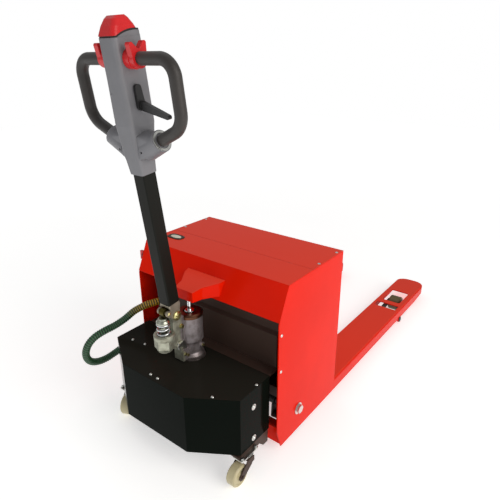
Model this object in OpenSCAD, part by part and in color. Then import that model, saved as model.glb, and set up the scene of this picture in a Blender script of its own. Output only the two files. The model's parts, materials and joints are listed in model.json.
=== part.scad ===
// Semi-electric pallet truck: powered travel, hand-pumped hydraulic lift.
// Millimetres. X runs towards the fork tips, Y to the left, Z up from the floor.
// The origin is on the floor, midway along the truck. The forks are lowered.

/* [Body] */
// Width over the side plates and over both forks
truck_w = 685; // [640:5:700]
// Height of the body with the forks lowered
body_h = 675; // [640:5:720]
// Length of the flat top, rear face to front fold
top_len = 374; // [360:1:400]
// How far the slanted front panel runs forward of the top
apron_run = 52; // [40:1:70]
// How far the slanted front panel drops
apron_drop = 116; // [90:1:130]
// Length of the screwed lid behind the seam
lid_len = 219; // [200:1:240]
// Thickness of the side plates
side_t = 4; // [3:0.5:6]
// Thickness of the top, lid and front sheet
sheet_t = 3; // [2:0.5:4]
// Gap between the side plates and the floor
floor_gap = 32; // [28:1:34]

/* [Forks] */
// Fork length from the body's rear face
fork_len = 1150; // [1000:10:1220]
// Width of one fork
fork_w = 160; // [150:1:170]
// Height of the fork's top when lowered
fork_h = 85; // [84:0.5:88]
// Length of the fork's heel inside the body
heel_len = 200; // [180:5:220]
// Thickness of the fork's pressed plate
fork_t = 5; // [4:0.5:5.5]
// Radius of the long pressed edges
fork_edge_r = 9; // [7:0.5:12]
// Corner radius of the tip, seen from above
tip_r = 62; // [40:1:70]
// Length of the roller window
window_len = 147; // [135:1:160]
// Width of the roller window
window_w = 100; // [92:1:110]
// Distance from the fork's tip to the roller window
window_from_tip = 191; // [180:1:200]
// Diameter of the load roller
roller_d = 80; // [78:1:82]
// Width of the load roller
roller_w = 70; // [60:1:74]
// Horizontal length of the roller arm when lowered
arm_reach = 140; // [136:1:146]

/* [Lift] */
// Travel of the forks
lift = 115; // [100:1:116]
// Crank shaft behind the steering axis
crank_back = 200; // [196:1:208]
// Height of the crank shaft
crank_z = 129; // [126:1:132]
// Horizontal distance from the crank shaft to its front pins
crank_reach = 162; // [156:1:166]
// Length of the crank's lower lugs
crank_lug = 62; // [60:0.5:63]
// Diameter of the crank shaft
crank_d = 50; // [44:1:56]
// Diameter of the push rods
rod_d = 15; // [12:0.5:16]

/* [Drive] */
// Steering axis ahead of the body's front edge
steer_gap = 62; // [60:1:72]
// Diameter of the drive wheel
drive_d = 220; // [200:2:224]
// Width of the drive wheel's tyre
drive_w = 75; // [60:1:80]
// Length of the drive cover ahead of the body
cover_len = 258; // [250:1:270]
// Length of the cover's straight sides
cover_side = 161; // [150:1:170]
// Width of the drive cover
cover_w = 614; // [600:2:620]
// Width of the cover's flat front
cover_front_w = 304; // [280:2:330]
// Height of the cover's top
cover_h = 342; // [338:1:350]
// Height of the cover's lower edge
cover_low = 117; // [112:1:125]
// Thickness of the cover's sheet
cover_t = 2.5; // [2:0.5:3]
// Diameter of the castor wheels
castor_d = 80; // [74:1:82]
// Width of the castor wheels
castor_w = 38; // [34:1:40]
// Angle at which the left castor stands
castor_turn = 25; // [0:5:60]
// Trail of the castors
castor_trail = 48; // [46:1:54]

/* [Pump] */
// Diameter of the lift cylinder
barrel_d = 92; // [86:1:96]
// Diameter of the lift ram
ram_d = 36; // [32:1:38]
// Height of the cylinder's top
barrel_top = 506; // [498:1:508]
// Tiller pivot ahead of the steering axis
pivot_ahead = 83; // [80:1:88]
// Height of the tiller pivot
pivot_z = 545; // [543:1:550]
// Distance from the tiller pivot to its pump roller
roller_arm = 38; // [37:0.5:39]
// Diameter of the pump roller
pump_roller_d = 30; // [26:1:32]
// Width of the pump roller
pump_roller_w = 20; // [16:1:24]
// Wire diameter of the pump spring
spring_wire = 5.5; // [4:0.5:6]
// Outer diameter of the pump spring
spring_d = 48; // [46:1:50]

/* [Tiller] */
// Lean of the tiller towards the operator at rest
tiller_lean = 7.5; // [4:0.5:10]
// Swing of the tiller from rest to fully lowered
tiller_swing = 65; // [45:1:66]
// Side of the square tiller tube
tube_w = 48; // [46:1:50]
// Wall of the tiller tube
tube_t = 3; // [2:0.5:4]
// Distance from the tiller pivot to the head's collar
collar_at = 502; // [480:1:540]
// Distance from the tiller pivot to the handle's upper ends
grip_at = 812; // [800:1:820]
// Width of the head's upper part
head_w = 68; // [64:1:72]
// Depth of the head, front to back
head_depth = 92; // [88:1:96]
// Width of one throttle along its spindle
throttle_w = 38; // [30:1:40]
// Half the distance between the two grips
grip_reach = 189; // [180:1:200]
// Diameter of the rubber grips
grip_d = 34; // [30:1:36]

/* [Hidden] */
$fn = 64;
// Running clearance of shafts and sliding fit of guided parts
run = 0.05;
// Free gap between parts that pass each other
gap = 0.5;

half_w = truck_w / 2;
head_front = head_depth / 2 - 6;
cap_at = grip_at + 57;
steer_ahead = top_len + apron_run + steer_gap;
head_reach = pivot_ahead + cap_at * sin(tiller_lean) + head_front * cos(tiller_lean);
tip_x = (fork_len + steer_ahead + head_reach) / 2;
rear_x = tip_x - fork_len;
fold_x = rear_x - top_len;
apron_x = fold_x - apron_run;
apron_z = body_h - apron_drop;
steer_x = rear_x - steer_ahead;
pivot_x = steer_x - pivot_ahead;
fork_y = half_w - fork_w / 2;

// Lift linkage. Every swing is split evenly about the crank's level position.
crank_x = steer_x + crank_back;
crank_len = norm([crank_reach, lift / 2]);
crank_half = asin(lift / 2 / crank_len);
crank_pin = [crank_x - crank_reach, crank_z + lift / 2];
crank_pin_r = 10;
crank_arm_y = 200;
arm_z = 24;
arm_rise = roller_d / 2 - arm_z;
arm_len = norm([arm_reach, arm_rise]);
arm_low = asin(arm_rise / arm_len);
arm_swing = arm_low + asin((lift - arm_rise) / arm_len);
rod_travel = 2 * crank_lug * sin(crank_half);
arm_lug = rod_travel / 2 / sin(arm_swing / 2);
load_x = tip_x - window_from_tip - 65;
arm_x = load_x - arm_reach;
rod_pin_r = 8;
arm_pin_r = 6;
rod_front = [crank_x - rod_travel / 2, crank_z - crank_lug * cos(crank_half)];
rod_back = [arm_x - rod_travel / 2, arm_z + arm_lug * cos(arm_swing / 2)];
rod_sink = crank_lug * (1 - cos(crank_half));
axle_r = 10;

// Pump and tiller
roller_rise = 30;
roller_pos = [pivot_x - roller_arm * cos(roller_rise), pivot_z + roller_arm * sin(roller_rise)];
piston_stroke = roller_arm * (sin(roller_rise) + sin(tiller_swing - roller_rise));
piston_x = pivot_x - roller_arm - 3;
button_top = roller_pos[1] - pump_roller_d / 2 - 1;
housing_top = button_top - piston_stroke - 20;
housing_low = housing_top - 67;
spring_low = housing_top - 56;
sleeve_top = housing_top - 3;
cup_z = button_top - 19;
frame_top = cover_h - cover_t;
bearing_low = frame_top - 26;
ram_top = barrel_top + 90;

// Castors
castor_x = steer_x - 62;
castor_y = cover_w / 2 - 9;
castor_plate_z = castor_d + 21;

// ---------- shared shapes ----------

// Cylinder along Y from y0 to y1, centred on [x, z]
module along_y(pos, r, y0, y1) {
    translate([pos[0], y1, pos[1]]) rotate([90, 0, 0]) cylinder(h = y1 - y0, r = r);
}

// XZ outline given thickness t, centred on y
module plate_xz(y, t) {
    translate([0, y + t / 2, 0]) rotate([90, 0, 0]) linear_extrude(t) children();
}

// Link outline from p to q with end radii r1 and r2
module link(p, q, r1, r2) {
    d = q - p;
    len = norm(d);
    lean = asin((r1 - r2) / len);
    translate(p) rotate(atan2(d[1], d[0])) {
        circle(r1);
        translate([len, 0]) circle(r2);
        w1 = r1 - 0.06;
        w2 = r2 - 0.06;
        polygon([
            w1 * [sin(lean), cos(lean)], [len, 0] + w2 * [sin(lean), cos(lean)],
            [len, 0] + w2 * [sin(lean), -cos(lean)], w1 * [sin(lean), -cos(lean)]
        ]);
    }
}

// Rectangle with round corners, centred
module round_rect(size, r) {
    square([size[0] - 2 * r, size[1]], center = true);
    square([size[0], size[1] - 2 * r], center = true);
    for (x = [-1, 1], y = [-1, 1])
        translate([x * (size[0] / 2 - r), y * (size[1] / 2 - r)]) circle(r);
}

// Copies a piece to both sides of the truck
module both_sides() {
    children();
    mirror([0, 1, 0]) children();
}

// The tiller's own frame: Z along the tube, X away from the operator
module on_tiller() {
    translate([pivot_x, 0, pivot_z]) rotate([0, -tiller_lean, 0]) children();
}

// Hexagon head with a washer, standing along +Z
module hex_head(across, high, washer_r) {
    cylinder(h = 2.5, r = washer_r);
    cylinder(h = 2.5 + high, d = across / cos(30), $fn = 6);
}

// Low domed screw head along +Z
module dome_head(r, high) {
    ball = (r * r + high * high) / (2 * high);
    intersection() {
        translate([0, 0, high - ball]) sphere(ball);
        cylinder(h = high, r = r);
    }
}

function unit(v) = v / norm(v);
function tangents(p) = [for (i = [0:len(p) - 1])
    unit(p[min(i + 1, len(p) - 1)] - p[max(i - 1, 0)])];
function square_to(v, t) = unit(v - (v * t) * t);

// Round tube swept along points without twist
module swept_tube(p, r, sides) {
    t = tangents(p);
    n = [for (i = 0, v = square_to([0.3, 0.2, 1], t[0]); i < len(p);
        i = i + 1, v = i < len(p) ? square_to(v, t[i]) : v) v];
    rings = [for (i = [0:len(p) - 1], k = [0:sides - 1])
        p[i] + r * (cos(360 * k / sides) * n[i] + sin(360 * k / sides) * cross(t[i], n[i]))];
    walls = [for (i = [0:len(p) - 2], k = [0:sides - 1])
        let (a = i * sides + k, b = i * sides + (k + 1) % sides)
        each [[a, a + sides, b], [b, a + sides, b + sides]]];
    last = (len(p) - 1) * sides;
    polyhedron(rings, concat(walls, [[for (k = [0:sides - 1]) k]],
        [[for (k = [sides - 1:-1:0]) last + k]]));
}

// ---------- red fork frame ----------

// Side plate, seen from the side, under the top sheet
module side_outline() {
    toe = [26, 80];
    top = body_h - sheet_t;
    polygon([
        [rear_x - side_t, floor_gap], [rear_x - side_t, top], [fold_x, top],
        [apron_x + sheet_t, apron_z],
        [apron_x, apron_z - 8], [apron_x, floor_gap + toe[1]], [apron_x + toe[0], floor_gap]
    ]);
}

// Folded top strip, slanted front and its turned-in lip
module front_sheet_outline() {
    seam_x = rear_x - lid_len - 1;
    lip = 24;
    polygon([
        [seam_x, body_h], [fold_x, body_h], [apron_x, apron_z],
        [apron_x + lip, apron_z], [apron_x + lip, apron_z + sheet_t],
        [apron_x + sheet_t * 1.4, apron_z + sheet_t], [fold_x + sheet_t * 0.6, body_h - sheet_t],
        [seam_x, body_h - sheet_t]
    ]);
}

gauge_x = (fold_x + rear_x - lid_len) / 2 + 16.5;
gauge_y = half_w - 72;

module gauge_place() {
    translate([gauge_x, gauge_y, body_h]) children();
}

module body_shell() {
    color("orangered") difference() {
        union() {
            both_sides() {
                plate_xz(half_w - side_t / 2, side_t) difference() {
                    side_outline();
                    translate([crank_x, crank_z]) circle(12);
                }
                // Flange that takes the lid's screws
                translate([rear_x - lid_len, half_w - side_t - 22, body_h - sheet_t - 4])
                    cube([lid_len - side_t, 22, 4]);
            }
            plate_xz(0, truck_w) front_sheet_outline();
            // Ledge under the seam
            translate([rear_x - lid_len - 18, -half_w + side_t, body_h - 2 * sheet_t])
                cube([36, truck_w - 2 * side_t, sheet_t]);
            // Load face on the forks' heels, carried down between the forks
            translate([rear_x - side_t, -half_w, fork_h])
                cube([side_t, truck_w, body_h - sheet_t - fork_h]);
            translate([rear_x - side_t, -half_w, fork_h - heel_step])
                cube([side_t - gap, truck_w, heel_step]);
            translate([rear_x - side_t, fork_w - half_w, floor_gap])
                cube([side_t, truck_w - 2 * fork_w, fork_h - floor_gap]);
            // Cross beam that backs the nose
            translate([apron_x + 40, -half_w + side_t, apron_z + 20])
                cube([8, truck_w - 2 * side_t, 62]);
        }
        gauge_place() translate([0, 0, -10]) linear_extrude(12)
            square([34, 66], center = true);
    }
}

module battery_lid() {
    color("indianred") difference() {
        translate([rear_x - lid_len, -half_w, body_h - sheet_t]) cube([lid_len, truck_w, sheet_t]);
        lid_screw_places() translate([0, 0, -sheet_t - 1]) cylinder(h = sheet_t + 2, r = 3.2);
    }
}

lid_screw_y = half_w - 11;

module lid_screw_places() {
    for (x = [34, 165]) both_sides() translate([rear_x - x, lid_screw_y, body_h]) children();
}

module panel_screws() {
    color("silver") {
        lid_screw_places() {
            dome_head(6, 3);
            translate([0, 0, -sheet_t]) cylinder(h = sheet_t, r = 3);
        }
        for (z = [364, 506]) both_sides()
            translate([apron_x + 16, half_w, z]) rotate([-90, 0, 0]) dome_head(6, 3);
    }
}

// Plan of the fork with its round tip, seen from above
module fork_plan(inset, start_x) {
    r = tip_r - inset;
    end_x = tip_x - inset;
    w = fork_w / 2 - inset;
    translate([start_x, -w]) square([end_x - r - start_x, 2 * w]);
    translate([end_x - r - 0.01, r - w]) square([r + 0.01, 2 * (w - r)]);
    for (s = [-1, 1]) translate([end_x - r, s * (w - r)]) circle(r);
}

// Section of the fork's channel, seen along it, down to depth
module fork_section(inset, depth) {
    w = fork_w / 2 - inset;
    r = fork_edge_r - inset;
    top = fork_h - inset;
    translate([-w, -depth]) square([2 * w, top - r + depth]);
    translate([r - w, 0]) square([2 * (w - r), top]);
    for (s = [-1, 1]) translate([s * (w - r), top - r]) circle(r);
}

heel_x = rear_x - heel_len;
heel_step = 1;

module fork_form(inset, start_x) {
    intersection() {
        linear_extrude(fork_h + 10) fork_plan(inset, start_x);
        translate([start_x, 0, 0]) rotate([90, 0, 90])
            linear_extrude(tip_x - start_x + 1) fork_section(inset, 1);
    }
}

// One fork, drawn on its own centre line; the outer wall faces +Y
module fork() {
    nose_rise = 16;
    slot_gap = 35;
    slot_len = 51;
    difference() {
        union() {
            difference() {
                fork_form(0, heel_x);
                fork_form(fork_t, heel_x - 1);
                // Lower edge, rising at the tip
                translate([0, 90, 0]) rotate([90, 0, 0]) linear_extrude(180) polygon([
                    [heel_x - 1, -2], [tip_x + 1, -2], [tip_x + 1, floor_gap + nose_rise],
                    [tip_x - 160, floor_gap], [heel_x - 1, floor_gap]
                ]);
            }
            // Bosses of the arm's axle
            for (s = [-1, 1]) translate([0, s * (fork_w / 2 - fork_t / 2), 0])
                plate_xz(0, fork_t) link([arm_x, arm_z], [arm_x, floor_gap + 20], 16, 16);
            for (s = [-1, 1]) translate([0, s * (fork_w / 4 + roller_w / 4 + 6), 0])
                along_y([arm_x, arm_z], 15, -boss_len / 2, boss_len / 2);
        }
        // Window over the roller
        translate([tip_x - window_from_tip - window_len / 2, 0, fork_h - 20])
            linear_extrude(30) round_rect([window_len, window_w], 14);
        // Slot over the arm's lug
        translate([tip_x - window_from_tip - window_len - slot_gap - slot_len / 2, 0, fork_h - 20])
            linear_extrude(30) round_rect([slot_len, fork_w - 40], 4);
        along_y([arm_x, arm_z], axle_r, -fork_w, fork_w);
        // The side plate is the outer wall inside the body
        translate([heel_x - 1, fork_w / 2 - side_t, 0])
            cube([heel_len + 1 - side_t, side_t + 1, fork_h + 1]);
        // Heel let down under the load face
        translate([heel_x - 1, -fork_w / 2 - 1, fork_h - heel_step])
            cube([heel_len + 1, fork_w + 2, heel_step + 1]);
    }
}
boss_len = (fork_w / 2 - fork_t) - (roller_w / 2 + 12);

module fork_left() {
    color("tomato") translate([0, fork_y, 0]) fork();
}

module fork_right() {
    color("tomato") mirror([0, 1, 0]) translate([0, fork_y, 0]) fork();
}

// Axles of the roller arms, with heads outside the forks
module fork_axles() {
    color("dimgray") both_sides() translate([0, fork_y, 0]) {
        along_y([arm_x, arm_z], axle_r, -fork_w / 2, fork_w / 2);
        for (s = [0, 1]) along_y([arm_x, arm_z], 14, s * (fork_w + 4) - fork_w / 2 - 4,
            s * (fork_w + 4) - fork_w / 2);
    }
}

// Bridge from the body over the ram
module lift_nose() {
    front_x = steer_x - 24;
    slope = (body_h - apron_z) / apron_run;
    low_z = apron_z + 14;
    high_z = apron_z + 69;
    color("firebrick") difference() {
        intersection() {
            plate_xz(0, 200) polygon([
                [front_x, low_z], [front_x, low_z + 37],
                [apron_x + (high_z - apron_z) / slope, high_z],
                [apron_x + (low_z - apron_z) / slope, low_z]
            ]);
            linear_extrude(body_h + 50) polygon([
                [front_x, -42], [front_x + 40, -50], [apron_x + 6, -84], [apron_x + 40, -92],
                [apron_x + 40, 92], [apron_x + 6, 84], [front_x + 40, 50], [front_x, 42]
            ]);
        }
        // Socket for the ram's ball
        translate([steer_x, 0, ram_top - ball_r]) {
            sphere(ball_r + 0.3);
            translate([0, 0, -40]) cylinder(h = 40, r = ball_r + 0.5);
        }
    }
}
ball_r = 13;

// Channel across the front foot, with the corner gussets
module cross_member() {
    channel_h = 34;
    inner = half_w - side_t;
    color("crimson") {
        translate([0, 0, floor_gap]) difference() {
            translate([crank_x - 70, -inner, 0]) cube([30, 2 * inner, channel_h]);
            translate([crank_x - 66, -inner - 1, 4]) cube([31, 2 * inner + 2, channel_h - 8]);
        }
        both_sides() {
            translate([apron_x + 20, inner - 62, floor_gap + 14]) cube([5, 62, 66]);
            translate([apron_x + 25, inner - 5, floor_gap + 14])
                cube([crank_x - 70 - apron_x - 25, 5, 18]);
        }
    }
}

tray_z = 190;

module battery_tray() {
    inner = half_w - side_t;
    front_x = controller_x - 10;
    color("maroon") {
        translate([front_x, -inner, tray_z])
            cube([rear_x - side_t - front_x, 2 * inner, 3]);
        translate([front_x, -inner, tray_z + 3]) cube([3, 2 * inner, 40]);
    }
}

battery = [172, half_w - side_t - 18.5, 215];
battery_x = rear_x - 14 - battery[0];
controller_box = [120, 200, 70];
controller_x = battery_x - 32 - controller_box[0];

module batteries() {
    color("darkslategray") both_sides()
        translate([battery_x, 8, tray_z + 3]) {
            cube([battery[0], battery[1], battery[2] - 22]);
            translate([4, 4, battery[2] - 22]) cube([battery[0] - 8, battery[1] - 8, 16]);
            for (y = [40, battery[1] - 40])
                translate([battery[0] / 2, y, battery[2] - 6]) cylinder(h = 14, r = 9);
        }
}

// Motor controller with its finned heat sink
module controller() {
    box = controller_box;
    color("black") translate([controller_x, -box[1] / 2, tray_z + 3]) {
        cube(box);
        for (i = [0:8]) translate([0, 8 + i * 22, box[2]]) cube([box[0], 5, 22]);
    }
}

module gauge_bezel() {
    color("silver") gauge_place() difference() {
        union() {
            linear_extrude(4) round_rect([44, 76], 10);
            translate([0, 0, -24]) linear_extrude(24) square([33, 65], center = true);
        }
        translate([0, 0, 1]) linear_extrude(4) round_rect([32, 62], 6);
    }
}

module gauge_lens() {
    color("white") gauge_place() translate([0, 0, 1]) linear_extrude(2) round_rect([32, 62], 6);
}

isolator_drop = 65;
isolator = [
    fold_x - apron_run * isolator_drop / apron_drop + 17, half_w, body_h - isolator_drop
];

module isolator_place() {
    translate(isolator) rotate([-90, 0, 0]) children();
}

// Battery isolator: fixed collar and red key
module isolator_collar() {
    color("black") isolator_place() difference() {
        cylinder(h = 8, r = 13);
        translate([0, 0, 2]) cylinder(h = 7, r = 6 + run);
    }
}

module isolator_key() {
    color("red") isolator_place() {
        translate([0, 0, 2.5]) cylinder(h = 12, r = 6);
        translate([-5, -18, 9]) cube([10, 36, 16]);
    }
}

module crank_bolts() {
    color("silver") both_sides() {
        along_y([crank_x, crank_z], 12, half_w - 60, half_w);
        translate([crank_x, half_w, crank_z]) rotate([-90, 0, 0]) hex_head(30, 10, 23);
    }
}

// ---------- lift linkage ----------

// Shaft with front arms to the drive frame and lower lugs to the push rods
module crank_shaft() {
    reach = half_w - side_t - gap;
    lug_gap = 11;
    color("dimgray") difference() {
        union() {
            along_y([crank_x, crank_z], crank_d / 2, -reach, reach);
            both_sides() {
                plate_xz(crank_arm_y, 20) link([crank_x, crank_z], crank_pin, 34, 22);
                along_y(crank_pin, crank_pin_r, crank_arm_y, crank_arm_y + 32);
                for (s = [-1, 1]) plate_xz(fork_y + s * (lug_gap + 4), 8)
                    link([crank_x, crank_z], rod_front, 32, 15);
                along_y(rod_front, rod_pin_r, fork_y - lug_gap - 8, fork_y + lug_gap + 8);
            }
        }
        both_sides() along_y([crank_x, crank_z], 12 + run, half_w - 61, half_w);
    }
}

// Rod from the crank's lug to the roller arm, with a cross pin at its far end
module push_rod() {
    d = rod_back - rod_front;
    drop = atan2(d[1], d[0]);
    color("gray") translate([0, fork_y, 0]) difference() {
        union() {
            along_y(rod_front, 14, -10, 10);
            along_y(rod_back, 11, -18, 18);
            along_y(rod_back, arm_pin_r, -roller_w / 2 - 12, roller_w / 2 + 12);
            translate([rod_front[0], 0, rod_front[1]]) rotate([0, 90 - drop, 0])
                cylinder(h = norm(d), d = rod_d);
        }
        along_y(rod_front, rod_pin_r + run, -20, 20);
    }
}

module push_rod_left() {
    push_rod();
}

module push_rod_right() {
    mirror([0, 1, 0]) push_rod();
}

// Fork-shaped arm that swings the load roller down
module roller_arm() {
    cheek_y = roller_w / 2 + 1.5 + 4;
    lug_dir = [-sin(arm_swing / 2), cos(arm_swing / 2)];
    pivot = [arm_x, arm_z];
    load = [load_x, roller_d / 2];
    slot_r = arm_pin_r + 1.6;
    // The slot takes up the difference between the two swings
    slot_in = pivot + lug_dir * (arm_lug - rod_sink - (arm_lug - arm_lug * cos(arm_swing / 2)) - 1);
    slot_out = pivot + lug_dir * arm_lug;
    color("dimgray") translate([0, fork_y, 0]) difference() {
        union() {
            for (s = [-1, 1]) plate_xz(s * cheek_y, 8) {
                link(pivot, load, 18, 16);
                link(pivot, slot_out, 15, slot_r + 4);
            }
            along_y(pivot, 17, -cheek_y, cheek_y);
            along_y(load, axle_r, -cheek_y - 4, cheek_y + 4);
        }
        along_y(pivot, axle_r + run, -fork_w, fork_w);
        plate_xz(0, fork_w) link(slot_in, slot_out, slot_r, slot_r);
    }
}

module roller_arm_left() {
    roller_arm();
}

module roller_arm_right() {
    mirror([0, 1, 0]) roller_arm();
}

// Load roller with a crowned rim
module load_roller() {
    r = roller_d / 2;
    color("burlywood") translate([load_x, fork_y, r]) rotate([90, 0, 0]) rotate_extrude()
        polygon([
            [axle_r + run, -roller_w / 2], [r - 14, -roller_w / 2], [r - 12, 4 - roller_w / 2],
            [r - 4, 4 - roller_w / 2], [r, 8 - roller_w / 2], [r, roller_w / 2 - 8],
            [r - 4, roller_w / 2 - 4], [r - 12, roller_w / 2 - 4], [r - 14, roller_w / 2],
            [axle_r + run, roller_w / 2]
        ]);
}

module load_roller_left() {
    load_roller();
}

module load_roller_right() {
    mirror([0, 1, 0]) load_roller();
}

// ---------- drive frame, cover and castors ----------

cover_back = apron_x;
cover_corner = cover_back - cover_side;
cover_front = cover_back - cover_len;

// Cover seen from above, drawn in by inset at the front and sides
module cover_plan(inset) {
    w = cover_w / 2 - inset;
    front_w = cover_front_w / 2 - inset * 0.65;
    corner = cover_corner + inset * 0.35;
    front = cover_front + inset;
    polygon([
        [cover_back, -w], [corner, -w], [front, -front_w],
        [front, front_w], [corner, w], [cover_back, w]
    ]);
}

module drive_cover() {
    hole_r = barrel_d / 2 + 7;
    color([0.09, 0.09, 0.1]) difference() {
        translate([0, 0, cover_low]) linear_extrude(cover_h - cover_low) cover_plan(0);
        translate([0, 0, cover_low - 1]) linear_extrude(frame_top - cover_low + 1) union() {
            cover_plan(cover_t);
            translate([cover_back - 1, cover_t - cover_w / 2]) square([2, cover_w - 2 * cover_t]);
        }
        translate([steer_x, 0, frame_top - 1]) cylinder(h = cover_t + 2, r = hole_r);
    }
}

// Welded frame under the cover: top plate, side plates, crank brackets, castor arms
module drive_frame() {
    plate_t = 12;
    side_y = cover_w / 2 - cover_t - 4;
    slot_r = crank_pin_r + 0.8;
    slot_front = crank_x - crank_len - 1;
    deck_low = frame_top - plate_t;
    color([0.15, 0.15, 0.16]) difference() {
        union() {
            translate([0, 0, deck_low]) linear_extrude(plate_t) cover_plan(cover_t);
            translate([cover_back, -mast_w / 2, deck_low])
                cube([mast_x - cover_back, mast_w, plate_t]);
            both_sides() {
                // Side plate with its castor shelf and arm
                plate_xz(side_y, 8) polygon([
                    [cover_corner + 4, deck_low], [cover_corner + 4, deck_low + 1],
                    [cover_back - 4, deck_low + 1],
                    [cover_back - 4, 60], [castor_x + 94, 60], [castor_x + 70, castor_d + 4],
                    [castor_x + 54, castor_d + 4], [castor_x + 44, castor_plate_z],
                    [castor_x - 33, castor_plate_z]
                ]);
                translate([castor_x - 44, castor_y - 36, castor_plate_z]) cube([88, 36 + 8, 8]);
                // Bracket for the crank's front pin
                plate_xz(crank_arm_y + 20, 12) polygon([
                    [crank_pin[0] - 40, deck_low], [crank_pin[0] - 40, deck_low + 1],
                    [crank_pin[0] + 26, deck_low + 1], [crank_pin[0] + 26, deck_low],
                    [crank_pin[0] + 20, crank_pin[1] - 22], [crank_pin[0] - 30, crank_pin[1] - 22]
                ]);
            }
        }
        both_sides() plate_xz(crank_arm_y + 20, 30)
            link([slot_front, crank_pin[1]], [crank_pin[0] + 1, crank_pin[1]], slot_r, slot_r);
        translate([steer_x, 0, deck_low - 1]) cylinder(h = plate_t + 2, r = 64);
    }
}

mast_x = apron_x + 50;
mast_w = cover_w - 14;
mast_top = apron_z + 41;

// Folded back plate that closes the front of the body
module mast_plate() {
    step_z = apron_z - 89;
    color([0.12, 0.12, 0.13]) plate_xz(0, mast_w) polygon([
        [mast_x, frame_top - 12], [mast_x, step_z], [mast_x + 14, step_z + 10],
        [mast_x + 14, mast_top], [mast_x + 18, mast_top], [mast_x + 18, step_z + 8.3],
        [mast_x + 4, step_z - 1.7], [mast_x + 4, frame_top - 12]
    ]);
}

module cover_bolts() {
    edge = cover_w / 2;
    gland_at = rear_x + hose_end[0] - steer_x;
    color("silver") {
        for (p = [
            [cover_front + 19, 24], [cover_front + 18, -12], [cover_corner - 38, 83 - edge],
            [cover_back - 65, 7 - edge], [cover_corner + 25, edge - 63],
            [cover_corner + 33, edge - 124]
        ])
            translate([p[0], p[1], cover_h]) dome_head(6, 4);
        for (p = [[-1, -29, 272], [-1, -29, 142], [1, gland_at - 46, 292], [1, -29, 142]])
            translate([steer_x + p[1], p[0] * edge, p[2]]) rotate([-90 * p[0], 0, 0]) {
                cylinder(h = 2, r = 11);
                translate([0, 0, 2]) dome_head(7.5, 5);
            }
    }
}

module steer_bearing_outer() {
    color("lightsteelblue") translate([steer_x, 0, bearing_low + 1]) difference() {
        cylinder(h = frame_top - 13 - bearing_low, r = 84);
        translate([0, 0, -1]) cylinder(h = 30, r = 64);
    }
}

module steer_bearing_inner() {
    color("steelblue") translate([steer_x, 0, bearing_low]) difference() {
        cylinder(h = frame_top - 2 - bearing_low, r = 63.7);
        translate([0, 0, -1]) cylinder(h = 30, r = barrel_d / 2);
    }
}

// Fixed upper halves of both castors
module castor_heads() {
    color("gray") both_sides() translate([castor_x, castor_y, 0]) difference() {
        union() {
            translate([0, 0, castor_plate_z - 5]) linear_extrude(5) round_rect([90, 44], 6);
            translate([0, 0, castor_plate_z - 12]) cylinder(h = 8, r1 = 21, r2 = 27);
            for (x = [-36, 36]) translate([x, 14.8, castor_plate_z]) hex_head(9, 5, 6.2);
        }
        translate([0, 0, castor_plate_z - 13]) cylinder(h = 9, r = 6 + run);
    }
}

// Swivel fork with its axle
module castor_fork() {
    leg_y = castor_w / 2 + 3.5;
    crown_z = castor_d + 3;
    color("black") translate([castor_x, castor_y, 0]) {
        translate([0, 0, crown_z]) cylinder(h = 5.7, r = 25);
        translate([0, 0, crown_z]) cylinder(h = 12, r = 6);
        for (s = [-1, 1]) plate_xz(s * leg_y, 3) union() {
            link([-castor_trail, castor_d / 2], [-8, castor_d - 10], 14, 17);
            translate([-22, castor_d - 16]) square([40, 21]);
        }
        along_y([-castor_trail, castor_d / 2], 6, -leg_y - 6, leg_y + 6);
    }
}

// The left castor stands turned about its swivel
module turn_left_castor() {
    translate([castor_x, castor_y, 0]) rotate(castor_turn) translate([-castor_x, -castor_y, 0])
        children();
}

module castor_fork_left() {
    turn_left_castor() castor_fork();
}

module castor_fork_right() {
    mirror([0, 1, 0]) castor_fork();
}

// Solid castor wheel with a round-shouldered tread and dished sides
module castor_wheel() {
    r = castor_d / 2;
    w = castor_w / 2;
    color("wheat") translate([castor_x - castor_trail, castor_y, r]) rotate([90, 0, 0])
        rotate_extrude() polygon([
            [6 + run, -w], [14, -w], [16, 4 - w], [r - 12, 4 - w], [r - 9, 1 - w],
            [r - 3, 2 - w], [r, 6 - w], [r, w - 6], [r - 3, w - 2], [r - 9, w - 1],
            [r - 12, w - 4], [16, w - 4], [14, w], [6 + run, w]
        ]);
}

module castor_wheel_left() {
    turn_left_castor() castor_wheel();
}

module castor_wheel_right() {
    mirror([0, 1, 0]) castor_wheel();
}

// ---------- steered drive unit ----------

module drive_yoke() {
    leg_y = drive_w / 2 + 24;
    axle_z = drive_d / 2;
    color("dimgray") translate([steer_x, 0, 0]) difference() {
        union() {
            translate([0, 0, bearing_low - 16]) cylinder(h = 16, r = 76);
            for (s = [-1, 1]) plate_xz(s * leg_y, 12) union() {
                translate([-44, axle_z]) square([88, bearing_low - 16 - axle_z]);
                translate([-30, axle_z]) square([60, bearing_low - 15 - axle_z]);
                translate([0, axle_z]) circle(44);
            }
        }
        along_y([0, axle_z], 14, -100, 100);
    }
}

module drive_axle() {
    axle_z = drive_d / 2;
    end_y = drive_w / 2 + 30;
    color("silver") {
        along_y([steer_x, axle_z], 14, -end_y, end_y);
        both_sides() translate([steer_x, end_y, axle_z]) rotate([-90, 0, 0]) hex_head(36, 8, 24);
    }
}

// Hub motor with cooling ribs and the rim of the tyre
module drive_wheel_hub() {
    rim_r = drive_d / 2 - 26;
    w = drive_w / 2;
    hub_w = w + 14;
    color("silver") translate([steer_x, 0, drive_d / 2]) rotate([90, 0, 0]) rotate_extrude()
        polygon(concat(
            [[14 + run, -hub_w], [52, -hub_w], [60, 6 - hub_w], [62, 6 - w], [rim_r - 6, 6 - w]],
            [[rim_r, -w], [rim_r, w], [rim_r - 6, w - 6], [62, w - 6], [60, hub_w - 6]],
            [[52, hub_w], [14 + run, hub_w]]
        ));
}

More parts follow.
